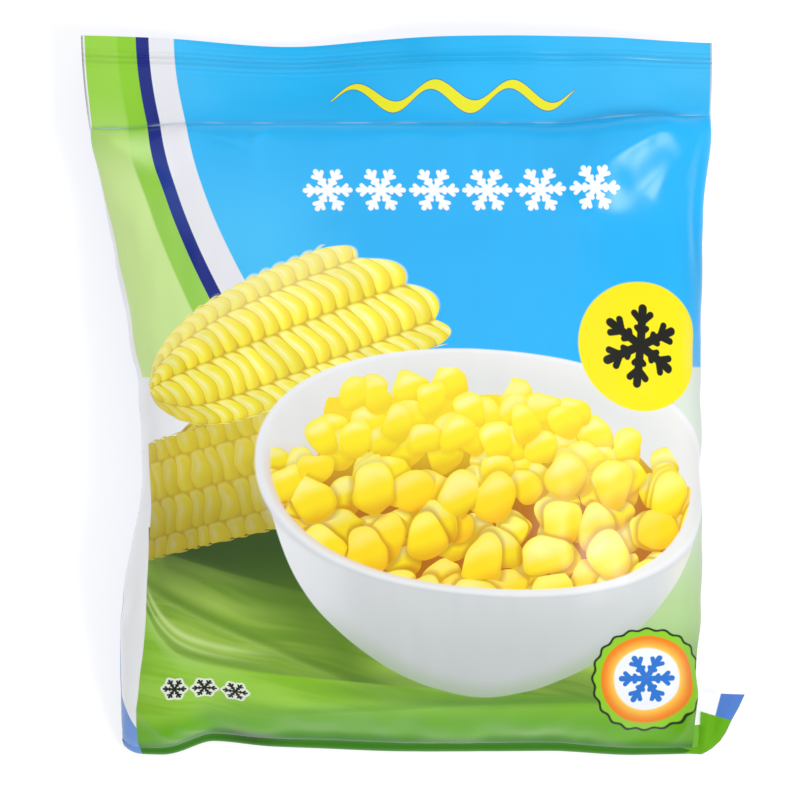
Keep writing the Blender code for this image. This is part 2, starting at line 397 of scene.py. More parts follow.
def settle(points, u, v):
    """Settles the body's film: it is a little too long at the sides and ends, so it puckers there."""
    first, last = HEADER_ROWS - 1, HEADER_ROWS + BODY_ROWS
    form = points[first:last].transpose(2, 0, 1).copy()
    down = (v[first:last] - v[first])[:, None]
    near_end = np.minimum(down, down[-1] - down)
    past_side = np.minimum(u - FLAT / 2, 1.5 * FLAT - u)[None, :]  # positive on the back
    past_side = np.where(u < 0, -(u + FLAT / 2), past_side)
    at_side = np.exp(-((past_side / np.where(past_side > 0, 22, 11)) ** 2)) * ramp(near_end, 14, 40)
    at_end = np.exp(-((near_end / np.where(past_side > 0, 20, 13)) ** 2)) * ramp(np.abs(past_side), 2, 22)
    puckered = np.maximum(at_side, at_end)
    edge = ramp(near_end, 0, 9)
    some = (slice(None, None, COARSE), slice(None, None, COARSE))
    part = form[:, ::COARSE, ::COARSE]
    rows, columns = part.shape[1:]
    relief = at_side[some] * soft_noise(rows, columns, 4, 12, 5)
    relief += 0.8 * at_end[some] * soft_noise(rows, columns, 14, 5, 6)
    relief += 0.25 * soft_noise(rows, columns, 10, 10, 7)
    start = part + form_normals(part) * relief * edge[some]
    low = -(0.5 + 1.6 * puckered[some]) * edge[some] - 0.02
    high = (0.4 + 0.9 * puckered[some]) * edge[some] + 0.02
    rest_u = steps_u(part) * (1.001 + END_SPARE * at_end[some])
    rest_v = steps_v(part) * (1.001 + SIDE_SPARE * at_side[some])[:-1]
    offset = relax(part, start, rest_u, rest_v, low, high) - part
    offset = smooth(refine(smooth(offset, 1), COARSE), 6)
    points = points.copy()
    points[first:last] += (offset * ramp(near_end, 0, 5)).transpose(1, 2, 0)
    return points


def even_out(points, v):
    """Takes the small kinks between the loft's runs out of the body's film."""
    form = points.transpose(2, 0, 1)
    near_end = np.minimum(v - HEADER_LENGTH, v[HEADER_ROWS + BODY_ROWS] - v)[:, None]
    even = form
    for _ in range(40):
        inner = 0.5 * even[:, 1:-1] + 0.25 * (even[:, :-2] + even[:, 2:])
        even = np.concatenate([even[:, :1], inner, even[:, -1:]], axis=1)
    return (form + (even - form) * ramp(near_end, 6, 30)).transpose(1, 2, 0)


# Folds and dents set in the film by handling: film places of both ends, then width and height
FOLDS = [
    ((92.3, 27), (70, 53.5), 3.2, 2.2),  # broad folds down from the header's right corner
    ((83.5, 51), (37, 51), 9.4, 2.1),
    ((94, 25), (38, 51), 8.2, 4.5),
    ((93, 34), (63, 87.5), 11.0, -1.1),
    ((91, 28), (66, 58), 1.6, -0.8),
    ((91, 29), (76, 60), 1.8, 0.8),
    ((90, 28), (56, 44), 1.8, 0.8),
    ((86, 27), (50, 37), 1.5, 0.5),
    ((87.5, 34), (88.5, 84), 1.3, -0.9),  # along the right side
    ((83.5, 40), (84.5, 80), 2.2, 0.6),
    ((-70, 30), (-45, 37.5), 1.2, 0.7),  # small V under the header
    ((-45, 37.5), (-39, 30), 1.1, 0.7),
    ((-52, 34), (-40, 41), 1.6, 0.5),
    ((-92, 29), (-66, 51), 3.6, 2.3),  # from the header's left corner
    ((-88, 27), (-81, 31), 1.4, 0.7),
    ((-89, 29), (-74, 33), 1.4, 0.5),
    ((-76, 33), (-69, 48), 1.3, 0.6),
    ((-88, 206), (-70, 234), 2.2, 0.9),  # the ear at the foot's left end
    ((-75, 215), (-62, 233), 2.4, 1.1),
    ((92, 196), (83, 232), 1.6, 0.9),  # into the free corner
    ((66, 203), (77, 196), 0.9, 0.35),
    ((70, 207), (84, 203), 0.9, 0.35),
    ((80, 214), (88, 200), 1.0, 0.4),
    ((-20, 92), (34, 60), 15.0, 0.4),
    ((-66, 140), (-20, 185), 12.0, 0.4),
    ((10, 74), (40, 66), 7.0, 0.25),
]
DENTS = (((-20, 229), (20, 6), -0.9), ((40, 228), (18, 6), -0.9), ((62, 60), (16, 9), -0.5))


def crumple(points, u, v):
    """Adds the folds and dents, and a slow wave to the header."""
    across, down = np.meshgrid(np.where(u > 2 * FLAT - 120, u - GIRTH, u), v)
    rise_by = np.zeros_like(across)
    for start, end, width, height in FOLDS:
        run = np.array(end, float) - start
        length = np.hypot(*run)
        along = ((across - start[0]) * run[0] + (down - start[1]) * run[1]) / length**2
        away = ((down - start[1]) * run[0] - (across - start[0]) * run[1]) / length
        taper = ramp(along, 0, 0.3) * ramp(along, 1, 0.6)
        rise_by += height * taper * np.exp(0.45 - np.sqrt((away / width) ** 2 + 0.2))
    for (at_u, at_v), (wide, tall), depth in DENTS:
        rise_by += depth * bump(across, at_u, wide) * bump(down, at_v, tall)
    rise_by += 0.07 * soft_noise(*rise_by.shape, 9, 9, 11) + 0.05 * soft_noise(*rise_by.shape, 18, 5, 12)
    rise_by *= 1 - 0.75 * bump(across, 93, 9) * bump(down, 30, 16)
    foot_fold = v[-1] - FOOT_SEAL
    free = ramp(down, foot_fold, foot_fold - 12) * ramp(down, HEADER_LENGTH, HEADER_LENGTH + 9)
    form = points.transpose(2, 0, 1)
    moved = form + form_normals(form) * (rise_by * free)
    headed = ramp(down, HEADER_LENGTH, HEADER_LENGTH - 14)
    plan_x = form[0]
    slant = 2.3 * ramp(plan_x, 40, 66) - 1.5 * ramp(plan_x, -66, -86)
    moved[1] += slant * bump(down, HEADER_LENGTH, 15)
    wave = 0.7 * np.sin(plan_x / 9.5 + down / 16) + 0.35 * np.sin(plan_x / 4.1 - down / 9)
    moved[2] += wave * headed
    moved[2] = np.maximum(moved[2], 0.02)  # flat on what it lies on
    return moved.transpose(1, 2, 0)


# The free corner: its outer edge in plan, from its tip round to the foot
CORNER_EDGE_X = (98.0, 96.4, 94.4, 92.7, 91.0, 88.6, 85.6, 80, 74)
CORNER_EDGE_Y = (-88.1, -91.9, -95.7, -99.6, -102.3, -104.6, -106.3, -106.0, -104.5)
CORNER_COLUMNS, CORNER_ROWS = 72, 30


def free_corner():
    """The flattened corner beside the foot: two layers of film that meet at its edge."""
    t = np.linspace(0, 1, CORNER_COLUMNS + 1)
    run = np.concatenate([[0], np.cumsum(np.hypot(np.diff(CORNER_EDGE_X), np.diff(CORNER_EDGE_Y)))])
    outer_x, outer_y = (np.interp(t * run[-1], run, edge) for edge in (CORNER_EDGE_X, CORNER_EDGE_Y))
    inner_x, inner_y = 78 - 6 * t, -87.4 - 12 * t
    share = np.concatenate([np.linspace(0, 1, CORNER_ROWS), np.linspace(1, 0, CORNER_ROWS)[1:]])[:, None]
    over = np.where(np.arange(len(share)) < CORNER_ROWS, 1, -1)[:, None]
    x = inner_x + (outer_x - inner_x) * share
    y = inner_y + (outer_y - inner_y) * share
    half = 0.55 * np.sqrt(np.clip(1 - share**4, 0, 1)) * ramp(t, -0.02, 0.06)
    fold = 0.9 * np.exp(-np.abs(x - 86.6 - (y + 100) * 0.16) / 1.3) * ramp(y, -107, -103)
    fold += 0.7 * np.exp(-np.abs(x - 91.5 - (y + 96) * 0.45) / 1.8) - 0.5 * bump(x, 89.0, 1.8)
    z = 3.1 + 0.4 * (y + 106) + fold + over * half
    white_end = 90.9 - (-88 - y) * 0.23
    green_end = -93.1 - (x - 84.7) * 0.30
    return np.stack([x, y, z], axis=-1), 106 + (x - white_end), 218 + (green_end - y)


def corners(grid):
    """The four corners of each cell of a grid."""
    return np.stack([grid[:-1, :-1], grid[:-1, 1:], grid[1:, 1:], grid[1:, :-1]], axis=-1)


def film_mesh(name, sheets):
    """Sheets of film as one mesh, each corner's film place being its UV. Each sheet is its points,
    the film places of its points, and how far on a closed sheet's first column is met again."""
    vertices, faces, places = [], [], []
    for points, u, v, again in sheets:
        rows, columns = points.shape[:2]
        index = np.arange(rows * columns).reshape(rows, columns) + sum(len(part) for part in vertices)
        if again:
            index = np.concatenate([index, index[:, :1]], axis=1)
            u = np.concatenate([u, u[:, :1] + again], axis=1)
            v = np.concatenate([v, v[:, :1]], axis=1)
        vertices.append(points.reshape(-1, 3) * MM)
        faces += [tuple(int(k) for k in quad) for quad in corners(index).reshape(-1, 4)]
        places.append(np.stack([corners(u).reshape(-1), corners(v).reshape(-1)], axis=-1))
    mesh = bpy.data.meshes.new(name)
    mesh.from_pydata(np.concatenate(vertices).tolist(), [], faces)
    layer = mesh.uv_layers.new(name="film")
    layer.data.foreach_set("uv", np.concatenate(places).astype(np.float32).reshape(-1))
    mesh.polygons.foreach_set("use_smooth", np.ones(len(faces), bool))
    mesh.update()
    film = bpy.data.objects.new(name, mesh)
    bpy.context.scene.collection.objects.link(film)
    return film


points, film_u, film_v = film_grid()
points = crumple(settle(even_out(points, film_v), film_u, film_v), film_u, film_v)
film = film_mesh("bag_film", [(points, *np.meshgrid(film_u, film_v), GIRTH), (*free_corner(), 0)])

# ---------------------------------------------------------------- the print, with some painted light and shade, drawn in film millimetres

material = bpy.data.materials.new("printed_film")
material.use_nodes = True
tree = material.node_tree
surface = tree.nodes["Principled BSDF"]


def to_linear(part):
    """A printed level from 0 to 255 as light."""
    part /= 255
    return part / 12.92 if part <= 0.04045 else ((part + 0.055) / 1.055) ** 2.4


def ink(red, green, blue):
    return (to_linear(red), to_linear(green), to_linear(blue), 1.0)


class Field:
    """A number that changes over the film: arithmetic on it adds Math nodes."""

    def __init__(self, socket):
        self.socket = socket

    def __add__(self, other):
        return calculate("ADD", self, other)

    def __radd__(self, other):
        return calculate("ADD", other, self)

    def __sub__(self, other):
        return calculate("SUBTRACT", self, other)

    def __rsub__(self, other):
        return calculate("SUBTRACT", other, self)

    def __mul__(self, other):
        return calculate("MULTIPLY", self, other)

    def __rmul__(self, other):
        return calculate("MULTIPLY", other, self)

    def __truediv__(self, other):
        return calculate("DIVIDE", self, other)

    def __pow__(self, other):
        return calculate("POWER", self, other)


def plug(socket, value):
    if isinstance(value, Field):
        tree.links.new(value.socket, socket)
    else:
        socket.default_value = value


def set_up(node, **values):
    """Sets inputs of a node by their names, with _ for a space."""
    for name, value in values.items():
        node.inputs[name.replace("_", " ")].default_value = value


def calculate(operation, *values):
    node = tree.nodes.new("ShaderNodeMath")
    node.operation = operation
    for socket, value in zip(node.inputs, values):
        plug(socket, value)
    return Field(node.outputs[0])


def size_of(x):
    return calculate("ABSOLUTE", x)


def root(x):
    return calculate("SQRT", x)


def decay(x, reach):
    """1 at x = 0, and less and less past it."""
    return calculate("EXPONENT", x / -reach)


def least(a, b):
    return calculate("MINIMUM", a, b)


def most(a, b):
    return calculate("MAXIMUM", a, b)


def more(a, b):
    """1 where a is more than b."""
    return calculate("GREATER_THAN", a, b)


def blend(a, b, share):
    """A number between a and b, by share."""
    node = tree.nodes.new("ShaderNodeMix")
    for socket, value in zip(node.inputs[0:1] + node.inputs[2:4], (share, a, b)):
        plug(socket, value)
    return Field(node.outputs[0])


def rise(x, start, end, soft=True):
    """0 before start and 1 past end, or the other way round when end is less than start."""
    node = tree.nodes.new("ShaderNodeMapRange")
    node.interpolation_type = "SMOOTHSTEP" if soft else "LINEAR"
    low, high = (start, end) if start < end else (end, start)
    plug(node.inputs["Value"], x)
    set_up(node, From_Min=low, From_Max=high, To_Min=float(start > end), To_Max=float(start < end))
    return Field(node.outputs["Result"])


def past(x, edge, soft=0.12):
    """1 where x is more than the edge, with a printed edge's softness in millimetres."""
    return rise(x - edge, -soft, soft, soft=False)


def within(gap, soft=0.12):
    """1 where a distance past an edge is less than 0, with a printed edge's softness."""
    return rise(gap, soft, -soft, soft=False)


def hill(x, middle, reach):
    """1 at the middle and less and less on both sides of it."""
    share = (x - middle) / reach
    return calculate("EXPONENT", share * share * -1.0)


def both(a, b):
    return a * b


def paint(below, above, share):
    """A layer of ink over what is below it."""
    node = tree.nodes.new("ShaderNodeMix")
    node.data_type = "RGBA"
    plug(node.inputs[0], share)
    plug(node.inputs[6], below)
    plug(node.inputs[7], above)
    return Field(node.outputs[2])


def laid(below, *layers):
    """Layers of ink, each a colour and its share, one after the other over what is below."""
    for colour, share in layers:
        below = paint(below, colour, share)
    return below


def shaded(colour, amount):
    """A colour made lighter or darker by a field."""
    node = tree.nodes.new("ShaderNodeVectorMath")
    node.operation = "SCALE"
    plug(node.inputs[0], colour if isinstance(colour, Field) else colour[:3])
    plug(node.inputs["Scale"], amount)
    return Field(node.outputs[0])


def turned(x, y, degrees):
    """The place x, y on axes turned by so many degrees."""
    cos, sin = math.cos(math.radians(degrees)), math.sin(math.radians(degrees))
    return x * cos + y * sin, y * cos - x * sin


def joined(x, y, z=0.0):
    node = tree.nodes.new("ShaderNodeCombineXYZ")
    for socket, value in zip(node.inputs, (x, y, z)):
        plug(socket, value)
    return Field(node.outputs[0])


def parts_of(vector):
    node = tree.nodes.new("ShaderNodeSeparateXYZ")
    plug(node.inputs[0], vector)
    return [Field(socket) for socket in node.outputs]


def noise(x, y, size, detail, place):
    """Soft unevenness from 0 to 1 with features of about this size."""
    node = tree.nodes.new("ShaderNodeTexNoise")
    node.noise_dimensions = "2D"
    set_up(node, Scale=1.0, Detail=detail)
    plug(node.inputs["Vector"], joined(x / size + place * 17.3, y / size))
    return Field(node.outputs["Fac"])


def ellipse(x, y, wide, tall):
    """1 on the ellipse's outline, less inside it."""
    a, b = x / wide, y / tall
    return root(a * a + b * b)


def inside(shape, size, soft=0.12):
    """1 inside a shape of about this size, whose outline is at 1, with a printed edge's softness."""
    return rise(shape, 1 + soft / size, 1 - soft / size, soft=False)


def stroke(x, y, start, end, half):
    """A straight stroke with round ends, as a distance past its edge."""
    run = (end[0] - start[0], end[1] - start[1])
    length = math.hypot(*run)
    along = ((x - start[0]) * run[0] + (y - start[1]) * run[1]) / length
    away = ((y - start[1]) * run[0] - (x - start[0]) * run[1]) / length
    over = along - least(most(along, 0.0), length)
    return root(away * away + over * over) - half


def snowflake(x, y, radius, half):
    """A plain six-armed flake with two pairs of twigs, as a distance past its edge."""
    angle = calculate("ARCTAN2", y, x)
    far = root(x * x + y * y)
    sector = math.pi / 3
    fold = calculate("PINGPONG", angle + 2 * math.pi, sector / 2)
    px, py = far * calculate("COSINE", fold), far * calculate("SINE", fold)
    arm = stroke(px, py, (0.0, 0.0), (radius - half, 0.0), half)
    twig = stroke(px, py, (radius * 0.56, 0.0), (radius * 0.76, radius * 0.20), half * 0.8)
    inner = stroke(px, py, (radius * 0.30, 0.0), (radius * 0.42, radius * 0.12), half * 0.7)
    return least(arm, least(twig, inner))


uv = tree.nodes.new("ShaderNodeUVMap")
uv.uv_map = "film"
U, V, _ = parts_of(Field(uv.outputs["UV"]))

WHITE = ink(233, 234, 241)
SIDE_WHITE = ink(246, 247, 250)
SKY_TOP = ink(24, 182, 246)
SKY = ink(34, 177, 245)
BACK_BLUE = ink(80, 126, 205)
NAVY = ink(2, 30, 128)
BAND_GREEN = ink(140, 205, 40)
PALE_GREEN = ink(210, 240, 156)
BASE_GREEN = ink(100, 172, 8)
FIELD_GREEN = ink(134, 190, 42)
LEAF_DARK = ink(52, 88, 44)
BADGE_YELLOW = ink(246, 232, 20)

# The bowl: its body hangs from a base line, and its rim is a tilted superellipse
BOWL_U, BOWL_BASE_V = 23.0, 122.8
BODY_HALF, BODY_DEPTH, BODY_POWER = 70.6, 83.0, 1.75
RIM_U, RIM_V, RIM_TILT = 21.6, 136.0, 4.8
RIM_HALF_WIDE, RIM_HALF_TALL, RIM_POWER = 69.8, 35.8, 2.14

# sky, and the bands at the left: each is past a parabola that bends down the bag
curve = V * V
# painted reflection: the navy band lighter round V 52
navy_with_reflection = paint(NAVY, ink(34, 62, 150), hill(V, 52.0, 14.0) * 0.8)
band_green_with_highlight = paint(BAND_GREEN, ink(162, 216, 100), rise(V, 34.0, 62.0) * 0.7)
# painted highlight on the green band round V 38
band_green_with_highlight = paint(band_green_with_highlight, ink(198, 236, 150), hill(V, 38.0, 6.0) * 0.8)
# the pale band lightens down the bag: partly print, partly painted sheen
pale = paint(ink(152, 211, 66), PALE_GREEN, rise(V, 14.0, 52.0))
face = laid(  # here and below, the film's colour so far: its print, with painted light and shade where marked
    SKY_TOP,
    (ink(72, 194, 250), rise(size_of(U), 15.0, 90.0) * rise(V, 32.0, 22.0) * 0.6),
    (SKY, rise(V, 10.0, 50.0)),
    # painted sheen: a lighter patch of sky at the left
    (ink(74, 200, 254), hill(V, 68.0, 24.0) * rise(U, -6.0, -44.0) * 0.7),
    (WHITE, past(U, -106.0) * past(curve * 0.0029 - U, 66.2)),
    (navy_with_reflection, past(curve * 0.00265 - U, 73.6)),
    (band_green_with_highlight, past(curve * 0.00258 - U, 77.4)),
    (pale, past(curve * 0.00235 - U, 82.9, 0.4)),
)


# leaves: everything under the cobs and the bowl, with painted shade along the foot
def leaf_light(x, y, degrees, pitch, place):
    """The streaks that run along a leaf: fine ones over broad ones."""
    along, across = turned(x, y, degrees)
    wander = noise(along, across, 30.0, 0.0, place) * 6.0
    fine = noise(along / 14.0, across + wander, 2.2, 1.0, place)
    broad = noise(along / 8.0, across + wander, pitch, 0.0, place + 4.0)
    return fine * 0.35 + broad * 0.65


du, dv = U - BOWL_U, V - BOWL_BASE_V
body = size_of(du / BODY_HALF) ** BODY_POWER + most(dv / BODY_DEPTH, 0.0) ** BODY_POWER
leaf_top = 150.0 - rise(U, 60.0, 84.0) * 45.0
streaks = leaf_light(U, V, 16.0, 7.0, 1.0)
from_side = U + 77.2
rib_line = V - (188.5 - decay(from_side, 8.0) * 15.0 + from_side * 0.1)
blade = V - (158.5 + (U + 78.0) * 0.26)  # a leaf's cut edge that runs down to the right
lower_blade = V - (170.0 + (U + 78.0) * 0.5)
shade_under = rise(V - leaf_top, 32.0, 5.0) * rise(U, -88.0, -72.0) * rise(U, -12.0, -34.0)
plain = V - (194.7 - decay(from_side, 7.0) * 15.0 + from_side * 0.09)  # the plain leaf in front
plain_green = paint(FIELD_GREEN, ink(166, 218, 84), rise(streaks, 0.4, 0.7) * 0.6)
plain_green = paint(plain_green, ink(172, 214, 112), rise(plain, 7.0, 0.0) * rise(U, -40.0, -76.0) * 0.7)
edge_leaf = V - (217.5 - rise(U, -60.0, 30.0) * 6.0 - (U + 60.0) * 0.03)
edge_shade = hill(edge_leaf, -1.2, 2.2) * rise(edge_leaf, 0.6, -0.2) * rise(U, -58.0, -30.0)
pale_side = paint(ink(216, 228, 216), ink(176, 208, 146), rise(V, 135.0, 178.0))
pale_side = paint(pale_side, ink(124, 176, 78), rise(V, 176.0, 200.0))
base = V - (213.0 - (U + 30.0) * 0.03)
leaves = laid(
    ink(124, 166, 50),
    (ink(154, 192, 74), rise(streaks, 0.35, 0.6)),
    (ink(170, 204, 90), hill(rib_line, -15.0, 3.0) * rise(U, 30.0, -50.0) * 0.6),
    (ink(206, 232, 150), hill(rib_line, -1.0, 1.2) * rise(U, -30.0, -70.0) * 0.8),
    (ink(196, 226, 140), hill(rib_line, 2.4, 0.8) * rise(U, -36.0, -74.0) * 0.8),
    (ink(112, 156, 66), hill(rib_line, 4.6, 1.6) * rise(U, 20.0, -60.0) * 0.5),
    (ink(70, 100, 38), rise(blade, 0.4, -0.5) * 0.85),
    (ink(168, 202, 92), hill(blade, 1.6, 1.6) * 0.6),
    (ink(168, 202, 96), hill(lower_blade, 0.8, 1.0) * 0.5),
    (ink(92, 132, 40), hill(lower_blade, -1.4, 1.8) * 0.5),
    (ink(78, 116, 22), rise(body, 1.7, 1.02) * rise(U, 0.0, -20.0) * 0.85),
    (ink(38, 62, 26), shade_under * 0.8),
    (plain_green, rise(plain, -0.5, 0.5)),
    (ink(134, 190, 62), rise(U, -30.0, 20.0) * rise(plain, 0.0, 6.0) * 0.8),
    (ink(104, 162, 52), edge_shade * 0.6),
    (pale_side, rise(U, 54.0, 66.0) * rise(V, 214.0, 196.0)),
    (BASE_GREEN, rise(base, -6.0, 8.0)),
    # painted shade: the green darker where the film turns under at the foot, a little less dark on its last
    # strip
    (ink(30, 116, 0), rise(V, 225.0, 233.5) * 0.95),
    (ink(56, 130, 8), rise(V, 232.0, 234.0)),
    (ink(36, 74, 14), hill(U, -52.0, 9.0) * hill(V, 232.0, 4.0) * 0.8),  # painted shade beside the ear
)
face = paint(face, leaves, past(V - leaf_top, 0.0, 0.3) * past(94.0 - U, 0.0))

# cobs
COB_YELLOW = ink(252, 240, 60)
COB_PALE = ink(255, 251, 190)
COB_GOLD = ink(240, 212, 44)
COB_GAP = ink(214, 180, 54)
HALO = ink(214, 240, 252)
COB_LUMP = 0.05  # how far each kernel rounds the cob's outline, as a share of its half width
LOWER_COB_HALF = 17.4


def cob(x, y, rows, spacing, bend, lean):
    """Kernels on a cob, so many rows in its seen half, that bend and lean. x runs along it in millimetres
    and y from -1 to 1 across it. Also how far along and over its kernel a place is, squared."""
    angle = calculate("ARCSINE", least(most(y, -0.999), 0.999))
    turn = angle * (rows / math.pi) + 60.0
    row = calculate("FLOOR", turn)
    over = turn - row - 0.5
    shift = calculate("FRACT", row * 0.618)
    place = x / spacing + shift + over * over * bend - over * lean + 60.0
    cell = calculate("FLOOR", place)
    along = place - cell - 0.5
    grain = tree.nodes.new("ShaderNodeTexWhiteNoise")
    grain.noise_dimensions = "2D"
    plug(grain.inputs["Vector"], joined(row, cell))
    chance = Field(grain.outputs["Value"])
    square_along, square_over = along * along * 4.0, over * over * 4.0
    rim = square_along * square_along + square_over * square_over
    shine = hill(along + 0.16, 0.0, 0.13) * hill(over + 0.10, 0.0, 0.30)
    colour = laid(
        COB_YELLOW,
        (COB_GOLD, rise(along * 0.9 + over * 0.6, 0.0, 0.62)),
        (COB_PALE, shine * 0.9),
        (COB_PALE, hill(rim, 0.5, 0.22) * rise(along * 0.8 + over, 0.1, -0.5) * 0.5),
        (COB_GAP, rise(rim, 0.6, 1.3)),
    )
    return shaded(colour, chance * 0.14 + 0.93), square_along, square_over


# the whole cob in front, from its pointed end at the left to its cut end
x, y = turned(U + 82.9, V - 111.7, -21.0)
x = x + noise(x, y, 9.0, 0.0, 2.0) * 2.4 - 1.2
upper_half = 20.0 - decay(x + 2.0, 20.0) * 20.0
lower_half = 20.5 - decay(x + 1.2, 9.0) * 20.5
half = upper_half + past(y, 0.0, 0.3) * (lower_half - upper_half)
across = y / half
cob_colour, lump_along, lump_over = cob(x, across, 4.7, 4.5, 1.9, 0.75)
side_gap = size_of(y) - half * (1.0 - lump_along * COB_LUMP)
end_gap = x - (90.6 + across * 10.0 - across * across * 3.5 - across**4.0 * 6.0 - lump_over * 4.2)
cob_gap = most(most(side_gap, end_gap), -1.0 * x - 0.5)
cob_colour = shaded(cob_colour, 1.02 - rise(across, 0.2, 1.0) * 0.10)
cob_colour = paint(cob_colour, ink(252, 244, 178), rise(across, -0.1, -1.0) * 0.45)
cob_colour = paint(cob_colour, ink(222, 196, 78), rise(x, 22.0, 0.0) * rise(across, 0.0, 0.8) * 0.6)

# the cob behind it, in its shade
lower_x, lower_y = turned(U + 84.0, V - 145.0, -14.0)
lower_x = lower_x + noise(lower_x, lower_y, 8.0, 0.0, 6.0) * 4.0
lower_across = lower_y / LOWER_COB_HALF
lower_colour, lower_lump, _ = cob(lower_x + 2.0, lower_across, 4.6, 4.9, 0.3, 0.05)
lower_colour = paint(lower_colour, ink(190, 168, 50), 0.6)
lower_colour = shaded(lower_colour, 1.02 - rise(lower_across, -0.7, 0.8) * 0.36)
lower_gap = size_of(lower_y) - LOWER_COB_HALF * (1.0 - lower_lump * COB_LUMP)

silk_x, silk_y = turned(U + 66.0, V - 125.5, -40.0)
silk = ellipse(silk_x, silk_y, 15.0, 4.6)
threads = rise(noise(silk_x / 6.0, silk_y, 1.2, 1.0, 0.0), 0.4, 0.6)
silk_colour = paint(ink(222, 200, 82), ink(184, 160, 56), threads)

lower_ends = past(-1.0 * U, 20.0) * past(U - (V - 144.0) * 0.12, -83.0)
lower_shape = both(within(lower_gap, 0.15), lower_ends)
halo_share = rise(cob_gap, 0.9, 0.2) * rise(U, -60.0, -50.0) * rise(across, 0.6, 0.2)
face = laid(
    face,
    (SIDE_WHITE, past(V, 108.0) * past(152.0 - V, 0.0) * past(-1.0 * U, 30.0)),
    (silk_colour, inside(silk, 4.0)),
    (lower_colour, lower_shape),
    (HALO, halo_share * 0.6),
    (cob_colour, within(cob_gap, 0.15)),
)

# bowl
BOWL = ink(236, 238, 242)
BOWL_SHADE = ink(186, 192, 192)
rim_x, rim_y = turned(U - RIM_U, V - RIM_V, RIM_TILT)
rim_shape = size_of(rim_x / RIM_HALF_WIDE) ** RIM_POWER + size_of(rim_y / RIM_HALF_TALL) ** RIM_POWER
rim_shape = rim_shape ** (1 / RIM_POWER)
bowl_colour = laid(
    BOWL,
    (BOWL_SHADE, rise(dv, 40.0, 78.0) * 0.8),
    (BOWL_SHADE, rise(dv, 12.0, 40.0) * 0.62),
    (BOWL, rise(du, -34.0, -62.0) * 0.8),
    (ink(232, 232, 216), rise(du, 46.0, 62.0) * 0.8),
    (ink(150, 178, 128), rise(body, 0.84, 1.0) * rise(dv, 44.0, 76.0) * 0.6),
)
bowl_shape = both(inside(body, 60.0, 0.25), past(V - U * 0.083, 134.2))
foot_shadow = rise(ellipse(U - 26.0, V - 202.5, 52.0, 8.0), 1.2, 0.7)
bowl_inside = paint(ink(232, 232, 230), ink(222, 224, 222), rise(rim_shape, 0.98, 0.7))
rim_line = hill(rim_shape, 1.0, 0.018) * rise(rim_y, 4.0, 24.0)
face = laid(
    face,
    (LEAF_DARK, foot_shadow * 0.38),
    (bowl_colour, bowl_shape),
    (BOWL, inside(rim_shape, 45.0, 0.25)),
    (bowl_inside, inside(rim_shape, 45.0, 0.3) * rise(rim_shape, 0.985, 0.95)),
    (ink(200, 205, 208), rim_line * 0.6),
)

# loose kernels in the bowl: layers, each over the last
KERNEL = ink(253, 226, 26)
KERNEL_LIGHT = ink(255, 247, 100)
KERNEL_DEEP = ink(232, 176, 14)
KERNEL_GAP = ink(178, 104, 10)
PLUMPNESS = 2.4  # the power of a kernel's superellipse


def kernels(x, y, size, offset, wide, tall, first, last):
    """One layer of plump kernels, each turned its own way, whose middles lie on the heap between two
    heights: how far out of its outline, how lit, chance, and 1 where the layer has a kernel."""
    cells = tree.nodes.new("ShaderNodeTexVoronoi")
    cells.voronoi_dimensions = "2D"
    cells.feature = "F1"
    set_up(cells, Scale=1.0, Randomness=0.62)
    down_offset = offset * 1.7
    px, py = x / size + offset, y / size + down_offset
    plug(cells.inputs["Vector"], joined(px, py))
    cx, cy, _ = parts_of(Field(cells.outputs["Position"]))
    red, green, blue = parts_of(Field(cells.outputs["Color"]))
    dx, dy = px - cx, py - cy
    angle = red * (2 * math.pi)
    cos, sin = calculate("COSINE", angle), calculate("SINE", angle)
    ex, ey = dx * cos + dy * sin, dy * cos - dx * sin
    wide = wide + green * 0.07
    taper = 1.0 + ex / wide * 0.2
    shape = size_of(ex / wide) ** PLUMPNESS + size_of(ey / (taper * tall)) ** PLUMPNESS
    shape = shape ** (1 / PLUMPNESS)
    light = dx * -0.8 + dy * -2.16 + (green * 0.3 - 0.15)
    centre_x, centre_y = (cx - offset) * size, (cy - down_offset) * size
    lowest = most(heap_top(centre_x), first)
    on_heap = both(more(centre_y, lowest), more(last, centre_y))
    return shape, light, blue, on_heap


def heap_top(x):
    """The middles of the heap's topmost kernels: a level crown, a step at the left, a slope at the right."""
    return -25.4 + (most(x, 0.0) / 58.8) ** 1.8 * 29.7 + rise(x, -46.0, -51.0) * 18.0


# Cell size, place in the pattern, half length and half width in cells, and the heights it lies between
LAYERS = (
    (10.5, 7.4, 0.50, 0.46, -40.0, 40.0),
    (11.5, 12.9, 0.44, 0.36, -40.0, 24.0),
    (12.5, 21.3, 0.42, 0.34, -40.0, 10.0),
    (15.5, 37.1, 0.43, 0.36, 1.0, 40.0),
    (16.5, 41.2, 0.40, 0.34, 5.0, 40.0),
)
heap_x, heap_y = U - 21.0, V - RIM_V
heap_x = heap_x + noise(U, V, 7.0, 0.0, 3.0) * 1.8
heap_y = heap_y + noise(U, V, 7.0, 0.0, 8.0) * 1.8
far_side = rise(V, 150.0, 116.0)
heap = rise(heap_y - heap_top(heap_x), 3.6, 4.0, soft=False)
topmost = joined(2.0, 0.0, 0.0)
open_share = 1.0  # how far the layers above leave the kernels bright
for size, offset, wide, tall, first, last in LAYERS:
    shape, light, chance, on_heap = kernels(heap_x, heap_y, size, offset, wide, tall, first, last)
    seen = inside(shape, 5.0, 0.2) * on_heap
    topmost = paint(topmost, joined(shape, light, chance), seen)
    open_share = blend(open_share * (1.0 - rise(shape, 1.35, 1.0) * on_heap), 1.0, seen)
    heap = most(heap, seen)
shape, light, chance = parts_of(topmost)
gloss = rise(light, 0.2, 0.75) * rise(shape, 0.98, 0.6) * rise(chance, 0.3, 0.6)
worn_tip = rise(chance, 0.5, 0.36) * rise(light, -0.1, 0.45) * rise(shape, 1.0, 0.7)
